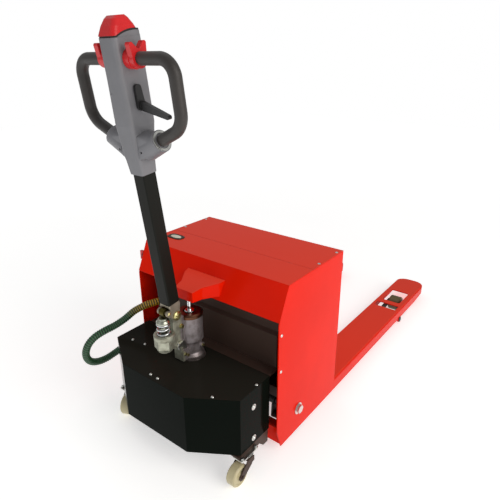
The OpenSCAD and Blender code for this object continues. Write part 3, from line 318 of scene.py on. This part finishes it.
def pump_finish(name, barrel, housing, foot):
    """Fettled casting in three tones: a warm grey barrel, a paler housing round the pump's axis and a
    darker oily foot, all with a grain of about 2 mm and oil stains of about 20 mm."""
    material, tree, shader = new_material(name)
    place = surface_relief(tree, shader, scale=420.0, depth=0.0003, edge=0.002, detail=5.0)
    ram, spring = (sum(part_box(node), Vector()) / 2 for node in ("ram_gland", "pump_spring"))
    across = Vector((spring.x - ram.x, spring.y - ram.y, 0)).normalized()
    # The barrel ends a little short of half-way to the spring, and the foot fades out upwards
    border = ram.lerp(spring, 0.45)
    blend = 0.004
    foot_from, foot_to = 0.02, 0.05
    along = add(tree, "VectorMath", [(0, place.outputs["Object"])], operation="DOT_PRODUCT", _1=across)
    side = add(tree, "MapRange", [("Value", along.outputs["Value"])], From_Min=border.dot(across) - blend,
               From_Max=border.dot(across) + blend)
    split = add(tree, "SeparateXYZ", [("Vector", place.outputs["Object"])])
    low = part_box("pump_casting")[0].z
    rise = add(tree, "MapRange", [("Value", split.outputs["Z"])], From_Min=low + foot_from,
               From_Max=low + foot_to)
    tones = add(tree, "Mix", [(0, rise.outputs["Result"])], data_type="RGBA", _6=foot, _7=barrel)
    both = add(tree, "Mix", [(0, side.outputs["Result"]), (6, tones.outputs[2])], data_type="RGBA",
               _7=housing)
    stain = add(tree, "TexNoise", [("Vector", place.outputs["Object"])], Scale=45.0, Detail=5.0)
    dirt = add(tree, "ValToRGB", [("Fac", stain.outputs["Fac"])])
    first, last = dirt.color_ramp.elements
    first.position, last.position = 0.3, 0.6
    first.color = (0.55, 0.52, 0.5, 1.0)
    soiled = add(tree, "Mix", [(6, both.outputs[2]), (7, dirt.outputs["Color"])], data_type="RGBA",
                 blend_type="MULTIPLY", _0=1.0)
    tree.links.new(soiled.outputs[2], shader.inputs["Base Color"])
    gloss = add(tree, "MapRange", [("Value", stain.outputs["Fac"])], To_Min=0.3, To_Max=0.55)
    tree.links.new(gloss.outputs["Result"], shader.inputs["Roughness"])
    shader.inputs["Metallic"].default_value = 0.7
    return material


def turned_steel(name, colour, rough, stretch=(1, 1, 1), scale=900.0, depth=0.00003):
    """Machined or plated steel: fine tool lines, nearly mirror bright where the roughness is low."""
    material, tree, shader = new_material(name)
    place = surface_relief(tree, shader, scale, depth, edge=0.0006, detail=2.0, stretch=stretch)
    varied(tree, shader, place, colour, scale=40.0, spread=0.06, rough=rough, rough_spread=0.05)
    shader.inputs["Metallic"].default_value = 1.0
    return material


def moulding(name, colour, rough, grain=1400.0, depth=0.00008, edge=0.0012, sheen=0.0):
    """Injection-moulded plastic with a spark-eroded grain of about 0.7 mm and soft edges."""
    material, tree, shader = new_material(name)
    place = surface_relief(tree, shader, grain, depth, edge)
    varied(tree, shader, place, colour, scale=18.0, spread=0.05, rough=rough, rough_spread=0.04)
    shader.inputs["IOR"].default_value = 1.49
    shader.inputs["Sheen Weight"].default_value = sheen
    return material


def paint(material, *nodes):
    """Gives the CAD nodes this finish."""
    for name in nodes:
        mesh = NODES[name].data
        mesh.materials.clear()
        mesh.materials.append(material)


def dress(obj, material, body, slot, *stands_for):
    """Finishes a new piece: its material and body, and hides the CAD nodes that it replaces. The slot is not
    used.
    """
    obj.data.materials.clear()
    obj.data.materials.append(material)
    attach(obj, body)
    if stands_for:
        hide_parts(*stands_for)
    return obj


# ---------- operators ----------


class TRUCK_OT_stage(bpy.types.Operator):
    """Camera, pale floor and soft studio light"""
    bl_idname = "truck.stage"
    bl_label = "Stage"

    def execute(self, context):
        scene = context.scene
        # Standing height, ahead of the truck and to its right, looking down along the forks
        lens = bpy.data.cameras.new("truck_camera")
        lens.lens, lens.sensor_width = 33.865, 36.0
        lens.shift_x, lens.shift_y = -0.01243, -0.01074
        camera = bpy.data.objects.new("truck_camera", lens)
        yaw, pitch, roll = 0.646403, -0.373439, 0.000594
        forward = Vector((math.cos(pitch) * math.cos(yaw), math.cos(pitch) * math.sin(yaw), math.sin(pitch)))
        right = forward.cross(Vector((0, 0, 1))).normalized()
        up = right.cross(forward)
        right, up = right * math.cos(roll) + up * math.sin(roll), up * math.cos(roll) - right * math.sin(roll)
        turn = Matrix((right, up, -forward)).transposed().to_4x4()
        camera.matrix_world = Matrix.Translation((REAR_X - 1.51808, -1.07322, 1.34582)) @ turn
        scene.collection.objects.link(camera)
        scene.camera = camera
        scene.view_settings.view_transform = "Standard"

        world = bpy.data.worlds.new("studio")
        scene.world = world
        world.use_nodes = True
        # The backdrop is plain white behind the truck and lights it more gently than it looks
        sky = world.node_tree.nodes["Background"]
        sky.inputs["Color"].default_value = linear("#ffffff")
        seen = add(world.node_tree, "LightPath")
        strength = add(world.node_tree, "MapRange", [("Value", seen.outputs["Is Camera Ray"])], To_Min=0.36)
        world.node_tree.links.new(strength.outputs["Result"], sky.inputs["Strength"])

        # Level plane z = -0.5 mm, 18 m square, just under the wheels
        half, level = 9.0, -0.0005
        floor = grid_piece("floor", np.array([[[x, y, level] for y in (-half, half)] for x in (-half, half)]))
        face_out(floor)
        # Opal acrylic light table: white, lit from below, brighter away from the truck
        material, tree, shader = new_material("opal_acrylic_light_table")
        place = surface_relief(tree, shader, scale=60.0, depth=0.00005)
        varied(tree, shader, place, linear("#f4f4f3"), scale=1.5, spread=0.008, rough=0.75,
               rough_spread=0.03)
        away = add(tree, "VectorMath", [("Vector", place.outputs["Object"])], operation="LENGTH")
        glow = add(tree, "MapRange", [("Value", away.outputs["Value"])], From_Min=1.0, From_Max=5.0,
                   To_Min=0.5, To_Max=0.7)
        tree.links.new(glow.outputs["Result"], shader.inputs["Emission Strength"])
        shader.inputs["Emission Color"].default_value = linear("#ffffff")
        floor.data.materials.append(material)

        # Softboxes: place, aim, watts, side in metres, colour
        for name, at, aim, power, size, colour in (
            ("right_softbox", (-0.9, -3.4, 2.1), (-0.3, 0, 0.4), 72.0, 2.6, "#fffaf4"),
            ("top_softbox", (-0.2, 0.9, 3.6), (-0.2, 0, 0.5), 12.0, 2.8, "#ffffff"),
            ("front_fill", (-3.6, 0.9, 1.6), (-0.6, 0, 0.5), 6.0, 2.2, "#f6f9ff"),
        ):
            lamp = bpy.data.lights.new(name, "AREA")
            lamp.energy, lamp.size = power, size
            lamp.color = linear(colour)[:3]
            light = bpy.data.objects.new(name, lamp)
            facing = (Vector(aim) - Vector(at)).normalized().to_track_quat("-Z", "Y").to_matrix().to_4x4()
            light.matrix_world = Matrix.Translation(at) @ facing
            scene.collection.objects.link(light)
        return {"FINISHED"}


class TRUCK_OT_hose(bpy.types.Operator):
    """Ribbed hose that hangs between its two glands"""
    bl_idname = "truck.hose"
    bl_label = "Hose"

    def execute(self, context):
        rough_length = smooth_line(HOSE_POINTS, 200)[1]
        ribs = round(rough_length / sizes().hose_rib)
        per_rib, sides = 8, 24
        valley_radius, rib_height = 0.0125, 0.0020
        line, length = smooth_line(HOSE_POINTS, ribs * per_rib + 1)
        along = np.linspace(0, 1, len(line))
        # Radius is the valley's plus the rib's height times the square root of a wave from 0 to 1, which
        # leaves broad crests and narrow valleys
        crest = 0.5 + 0.5 * np.cos(2 * np.pi * along * ribs)
        radius = valley_radius + rib_height * np.sqrt(crest)
        hose = grid_piece("ribbed_hose", tube_grid(line, radius, sides), close_v=True, caps=True)
        # Map "wrap": U is the distance along the hose in metres, V the share of a turn round it
        uv = hose.data.uv_layers.new(name="wrap")
        loops = np.zeros(len(hose.data.loops), int)
        hose.data.loops.foreach_get("vertex_index", loops)
        u = (loops // sides) / (len(line) - 1) * length
        v = (loops % sides) / sides
        starts = np.zeros(len(hose.data.polygons), int)
        counts = np.zeros(len(hose.data.polygons), int)
        hose.data.polygons.foreach_get("loop_start", starts)
        hose.data.polygons.foreach_get("loop_total", counts)
        # The last column's face closes the turn, so its low corners count as a full turn
        high = np.maximum.reduceat(v, starts)
        full = np.repeat(high, counts) > 0.9
        v = np.where(full & (v < 0.5), v + 1.0, v)
        uv.data.foreach_set("uv", np.stack([u, v], axis=1).ravel())

        # Extruded nylon conduit: dark green and waxy, with painted shade that darkens the valleys between the
        # ribs nearly to black. The crests are ochre on the first 8 cm from the mast and green again after 17
        # cm. The phase is 0 on a crest and 0.5 in a valley
        material, tree, shader = new_material("extruded_nylon_conduit")
        place = add(tree, "UVMap", uv_map="wrap")
        split = add(tree, "SeparateXYZ", [("Vector", place.outputs["UV"])])
        count = add(tree, "Math", [(0, split.outputs["X"])], operation="MULTIPLY", _1=ribs / length)
        phase = add(tree, "Math", [(0, count.outputs[0])], operation="PINGPONG", _1=0.5)
        tones = []
        # Each ramp runs from the crest's colour to a near-black valley, painted shade in the creases between
        # the ribs
        for on_crest, valley_shade in (("#2a6136", "#08140e"), ("#c79a1c", "#1a1a10")):
            tone = add(tree, "ValToRGB", [("Fac", phase.outputs[0])])
            first, last = tone.color_ramp.elements
            first.position, last.position = 0.1, 0.4
            first.color, last.color = linear(on_crest), linear(valley_shade)
            tones.append(tone.outputs["Color"])
        green, ochre = tones
        near = add(tree, "MapRange", [("Value", split.outputs["X"])], From_Min=0.08, From_Max=0.17,
                   To_Min=1.0, To_Max=0.0)
        bands = add(tree, "Mix", [(0, near.outputs["Result"]), (6, green), (7, ochre)], data_type="RGBA")
        tree.links.new(bands.outputs[2], shader.inputs["Base Color"])
        shader.inputs["Roughness"].default_value = 0.38
        shader.inputs["IOR"].default_value = 1.53
        dress(hose, material, "chassis", "hose_rubber", "hose")
        return {"FINISHED"}


class TRUCK_OT_enamel(bpy.types.Operator):
    """Enamelled sheet, forks, cover and frame"""
    bl_idname = "truck.enamel"
    bl_label = "Enamel"

    def execute(self, context):
        # Red topcoat: bright and even, with a tight highlight, and faces on top paler with a painted sheen
        red = sprayed_enamel("red_sprayed_enamel", rgba(paints().body_red), rough=0.2, gloss=0.06,
                             top_sheen=linear("#f4442f"))
        # Black topcoat: nearly a pure black on its sides, with a brownish painted sheen on top
        black = sprayed_enamel("black_sprayed_enamel", rgba(paints().cover_black), rough=0.14,
                               gloss=0.02, top_sheen=linear("#272520"))
        # Powder coat on the tiller: a satin, slightly warm black
        tube_black = sprayed_enamel("black_powder_coat", linear("#161713"), rough=0.42, gloss=0.12)
        # Thin primer on the frame: brown-black and dull
        frame_black = sprayed_enamel("black_primer_enamel", linear("#463730"), rough=0.45, gloss=0.15)
        # Chassis enamel on the linkage: plain dark grey with crisp edges
        grey = sprayed_enamel("grey_chassis_enamel", linear("#333433"), rough=0.45, edge=0.0012,
                              gloss=0.3)
        paint(red, "body_shell", "battery_lid", "lift_nose", "fork_left", "fork_right", "cross_member")
        paint(black, "drive_cover")
        paint(tube_black, "tiller_tube")
        paint(frame_black, "drive_frame", "mast_plate", "castor_fork_left", "castor_fork_right",
              "battery_tray")
        paint(grey, "drive_yoke", "crank_shaft", "push_rod_left", "push_rod_right", "roller_arm_left",
              "roller_arm_right", "fork_axles")
        return {"FINISHED"}


class TRUCK_OT_metal(bpy.types.Operator):
    """Castings, plated bolts and bright steel"""
    bl_idname = "truck.metal"
    bl_label = "Bare metal"

    def execute(self, context):
        # Fettled casting: dull metal in three greys, mottled by oil
        cast = pump_finish("fettled_pump_casting", barrel=linear("#a0989a"), housing=linear("#b9bba9"),
                           foot=linear("#6d625c"))
        # Iron foot of the tiller in beige paint: matt and grainy
        link = sand_cast("beige_cast_iron", linear("#9c9484"))
        # Die-cast aluminium: pale and softly grained
        alloy = sand_cast("die_cast_aluminium", linear("#b4b6b8"))
        # Bright zinc: pale blue-white, satin from the barrel
        zinc = turned_steel("bright_zinc_plate", linear("#d6d7d3"), rough=0.3, scale=500.0)
        # Yellow passivated zinc: straw with a little iridescence, here only its straw tone
        straw = turned_steel("yellow_zinc_plate", linear("#c4bd86"), rough=0.32, scale=500.0)
        # Hard chrome on ground rod: almost a mirror, with fine rings round the rod
        chrome = turned_steel("hard_chrome_plate", linear("#e4e6e8"), rough=0.12, stretch=(1, 1, 40),
                              scale=60.0, depth=0.00001)
        # Satin nickel on the piston: a soft, warm shine
        satin = turned_steel("satin_nickel_plate", linear("#a9ac9e"), rough=0.3, stretch=(1, 1, 30),
                             scale=80.0)
        # Brass roller under old oil: dark olive
        brass = turned_steel("oiled_olive_brass", linear("#574f26"), rough=0.38, stretch=(1, 1, 30),
                             scale=80.0)
        # Gland of copper alloy, browned by heat and oil
        copper = turned_steel("oxidised_copper_alloy", linear("#6b4a38"), rough=0.3, stretch=(1, 1, 30),
                              scale=80.0)
        paint(cast, "pump_casting")
        paint(link, "tiller_base")
        paint(alloy, "drive_wheel_hub", "controller")
        paint(zinc, "cover_bolts", "panel_screws", "crank_bolts", "castor_heads", "drive_axle",
              "release_lever", "loop_ferrules")
        paint(straw, "pump_bolts", "tiller_pivot_bolt")
        paint(chrome, "lift_ram", "release_rod", "steer_bearing_inner", "steer_bearing_outer")
        paint(satin, "pump_piston")
        paint(brass, "tiller_roller")
        paint(copper, "ram_gland")
        return {"FINISHED"}


class TRUCK_OT_plastic(bpy.types.Operator):
    """Moulded plastics, rubber and tyres"""
    bl_idname = "truck.plastic"
    bl_label = "Plastic and rubber"

    def execute(self, context):
        # Grey ABS housing: even and softly matt
        grey = moulding("grained_grey_abs", rgba(paints().head_grey), rough=0.42)
        # Polished red ABS: clear highlights, hardly any grain
        red = moulding("glossy_red_abs", rgba(paints().button_red), rough=0.26, depth=0.00002)
        # Black ABS: a fine grain that dulls its edges
        black = moulding("grained_black_abs", linear("#1a1a1b"), rough=0.4)
        # Grip rubber: coarser skin and a faint dusty sheen
        rubber = moulding("moulded_grip_rubber", linear("#2a2623"), rough=0.5, grain=700.0,
                          depth=0.00012, sheen=0.12)
        # Tyre rubber: rough and nearly without gloss
        tread = moulding("drive_tyre_rubber", linear("#1c1c1c"), rough=0.7, grain=500.0,
                         depth=0.0003, sheen=0.1)
        # Cast nylon wheels: ivory and waxy, soft at the treads' edges
        nylon = moulding("cast_nylon", linear("#c3b892"), rough=0.34, grain=300.0, depth=0.00005,
                         edge=0.002)
        # Cast polyurethane rollers: olive brown and slightly glossy
        urethane = moulding("cast_polyurethane", linear("#5f5330"), rough=0.3, grain=200.0,
                            depth=0.00005, edge=0.002)
        # Battery cases: blue-black, satin
        case = moulding("battery_polypropylene", linear("#2a3234"), rough=0.45)
        paint(grey, "head_housing")
        paint(red, "belly_button", "throttle_left", "throttle_right", "isolator_key")
        paint(black, "lowering_lever", "isolator_collar", "hose_glands")
        paint(rubber, "handle_loop_left", "handle_loop_right")
        paint(tread, "drive_tyre")
        paint(nylon, "castor_wheel_left", "castor_wheel_right")
        paint(urethane, "load_roller_left", "load_roller_right")
        paint(case, "batteries")
        return {"FINISHED"}


class TRUCK_OT_spring(bpy.types.Operator):
    """Return spring of the pump piston, wound from round wire with closed ends"""
    bl_idname = "truck.spring"
    bl_label = "Pump spring"

    def execute(self, context):
        low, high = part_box("pump_spring")
        wire_radius, per_turn, sides = 0.0033, 48, 14
        centre = (low + high) / 2
        coil = (high.x - low.x) / 2 - wire_radius
        turns = sizes().spring_turns
        t = np.linspace(0, 1, turns * per_turn + 1)
        # A circle whose height grows with the angle, and hardly over the first and last half turn, where
        # only the slow share of the rise is left, so that the ends lie nearly flat
        ends, slow = 0.45 / turns, 0.08
        rise = np.clip((t - ends) / (1 - 2 * ends), 0, 1)
        angle = 2 * np.pi * turns * t
        travel = high.z - low.z - 2 * wire_radius
        height = low.z + wire_radius + travel * ((1 - slow) * rise + slow * t)
        line = np.stack([centre.x + coil * np.cos(angle), centre.y + coil * np.sin(angle), height], axis=1)
        tube = tube_grid(line, wire_radius, sides)
        spring = face_out(grid_piece("wound_pump_spring", tube, close_v=True, caps=True))
        # Zinc-plated spring wire: near white and bright, with dark gaps between the turns
        wire_steel = turned_steel("zinc_plated_spring_wire", linear("#dcdee0"), rough=0.22, scale=700.0)
        dress(spring, wire_steel, "drive_unit", "spring_steel", "pump_spring")
        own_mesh(spring)
        return {"FINISHED"}


class TRUCK_OT_gauge(bpy.types.Operator):
    """Oval battery gauge with its dark rim and bright dial"""
    bl_idname = "truck.gauge"
    bl_label = "Battery gauge"

    def execute(self, context):
        low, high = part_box("gauge_bezel")
        centre = (low + high) / 2
        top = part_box("battery_lid")[1].z
        rim_half, rim_power = (0.022, 0.038), 3.5
        dial_half, dial_power = (0.0135, 0.0265), 2.0

        def oval(half, power, rings):
            """Rings of points on |x / a|^n + |y / b|^n = 1, where a and b are the half sizes and n the
            power: each ring has its share of that outline and its height over the body's top."""
            angle = np.linspace(0, 2 * np.pi, 72, endpoint=False)
            x, y = (side * np.sign(wave) * np.abs(wave) ** (2 / power)
                    for side, wave in zip(half, (np.cos(angle), np.sin(angle))))
            share, height = (column[:, None] for column in np.array(rings).T)
            return np.stack(np.broadcast_arrays(centre.x + share * x, centre.y + share * y, top + height),
                            axis=2)

        # Rim, from the neck in the body's cut-out over the flange to the recess round the dial
        rim = grid_piece("oval_gauge_rim", oval(rim_half, rim_power, (
            (0.72, low.z - top), (0.72, 0.0002), (1.0, 0.0002), (1.0, 0.0022), (0.95, 0.0036),
            (0.86, 0.0038), (0.8, 0.0022))), close_v=True, caps=True, smooth=False)
        # Dial, a low dome
        dial = grid_piece("oval_gauge_dial", oval(dial_half, dial_power, (
            (1.0, 0.0018), (1.0, 0.0030), (0.94, 0.0035), (0.7, 0.0038))), close_v=True, caps=True)
        # Olive-black ABS rim with a faint gloss, and a polished window over an ivory dial
        olive = moulding("olive_black_abs", linear("#2c2a1c"), rough=0.3)
        window = moulding("glossy_gauge_window", linear("#e9e6d2"), rough=0.12, grain=400.0, depth=0.00001)
        dress(face_out(rim), olive, "fork_frame", "bright_steel", "gauge_bezel")
        dress(face_out(dial), window, "fork_frame", "white_face", "gauge_lens")
        return {"FINISHED"}


class TRUCK_OT_seal(bpy.types.Operator):
    """Black foam strips in the gap between head and button"""
    bl_idname = "truck.seal"
    bl_label = "Button seal"

    def execute(self, context):
        # Outline under the button's rim: a rounded rectangle whose middle lies 6 mm beyond the tube's axis,
        # as the operator sees it
        half_x, half_y, corner, centre = 0.0444, 0.0324, 0.0114, 0.006
        # Lower edge of the button: flat on the operator's side, then an arch from x = arch_from
        cap, arch_from, arch_x, arch_r, rise = 0.869, -0.031, 0.026, 0.1315, 0.013
        # Foam from 6 mm to 0.15 mm under that edge, 1.8 mm thick at its middles, with a point every 2 mm
        low, high, wall, step = 0.006, 0.00015, 0.0018, 0.002
        # The outline's corners are quarter circles of the corner's radius, and straight lines join them
        quarter = np.linspace(0, np.pi / 2, 13)
        corners = [np.stack([sx * (half_x - corner) + corner * np.cos(quarter + turn),
                             sy * (half_y - corner) + corner * np.sin(quarter + turn)], axis=1)
                   for sx, sy, turn in ((1, 1, 0), (-1, 1, np.pi / 2), (-1, -1, np.pi), (1, -1, 1.5 * np.pi))]
        outline = np.vstack([[[half_x, 0]], *corners, [[half_x, 0]]])
        run = np.concatenate([[0], np.cumsum(np.linalg.norm(np.diff(outline, axis=0), axis=1))])
        whole = run[-1]

        def edge(points, drop):
            """Points below the button's edge: u is the cap's height plus
            sqrt(arch_r^2 - (x - arch_x)^2) - arch_r + rise, or plus nothing where that is negative, less
            the drop."""
            x = points[:, 0] + centre
            bow = np.sqrt(arch_r**2 - (x - arch_x)**2) - arch_r + rise
            return on_tiller(x, points[:, 1], cap + np.maximum(bow, 0) - drop)

        # Closed-cell foam: dull black with a fine open skin, whose black also serves as painted shade in the
        # gap under the button
        foam = moulding("closed_cell_foam", linear("#26201f"), rough=0.8, grain=900.0, depth=0.0001,
                        edge=0.0003)
        # Ends of the strips, in metres round the outline from the middle of its far side: a long strip on
        # that side and on the operator's, and three short ones on each flank, where the arch turns
        flank = [0.050, 0.069, 0.088, 0.108]
        ends = [-flank[0], *flank, *(whole - end for end in reversed(flank))]
        for number, (start, end) in enumerate(zip(ends, ends[1:])):
            at = np.linspace(start, end, 2 + round((end - start) / step)) % whole
            outer = np.stack([np.interp(at, run, outline[:, k]) for k in range(2)], axis=1)
            inner = outer * np.array([1 - wall / half_x, 1 - wall / half_y])
            strip = np.stack([edge(outer, low), edge(outer, high), edge(inner, high), edge(inner, low)],
                             axis=1)
            seal = face_out(grid_piece(f"button_seal_{number}", strip, close_v=True, caps=True, smooth=False))
            dress(seal, foam, "tiller", "black_moulding")
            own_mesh(seal)
        return {"FINISHED"}


class TRUCK_PT_panel(bpy.types.Panel):
    """Sizes, colours and pieces of the truck"""
    bl_idname = "TRUCK_PT_panel"
    bl_label = "Pallet truck"
    bl_space_type = "VIEW_3D"
    bl_region_type = "UI"
    bl_category = "Truck"

    def draw(self, context):
        column = self.layout.column()
        for group in (context.scene.truck_paints, context.scene.truck_sizes):
            for name in group.bl_rna.properties.keys():
                if name not in ("rna_type", "name"):
                    column.prop(group, name)
        for operator in OPERATORS:
            column.operator(operator.bl_idname)


OPERATORS = (
    TRUCK_OT_stage, TRUCK_OT_hose, TRUCK_OT_enamel, TRUCK_OT_metal, TRUCK_OT_plastic, TRUCK_OT_spring,
    TRUCK_OT_gauge, TRUCK_OT_seal,
)
CLASSES = (TruckPaints, TruckSizes) + OPERATORS + (TRUCK_PT_panel,)


def register():
    for cls in CLASSES:
        bpy.utils.register_class(cls)
    bpy.types.Scene.truck_paints = bpy.props.PointerProperty(type=TruckPaints)
    bpy.types.Scene.truck_sizes = bpy.props.PointerProperty(type=TruckSizes)


def unregister():
    del bpy.types.Scene.truck_sizes
    del bpy.types.Scene.truck_paints
    for cls in reversed(CLASSES):
        bpy.utils.unregister_class(cls)


def main():
    register()
    for operator in OPERATORS:
        group, name = operator.bl_idname.split(".")
        getattr(getattr(bpy.ops, group), name)()


if __name__ == "__main__":
    main()
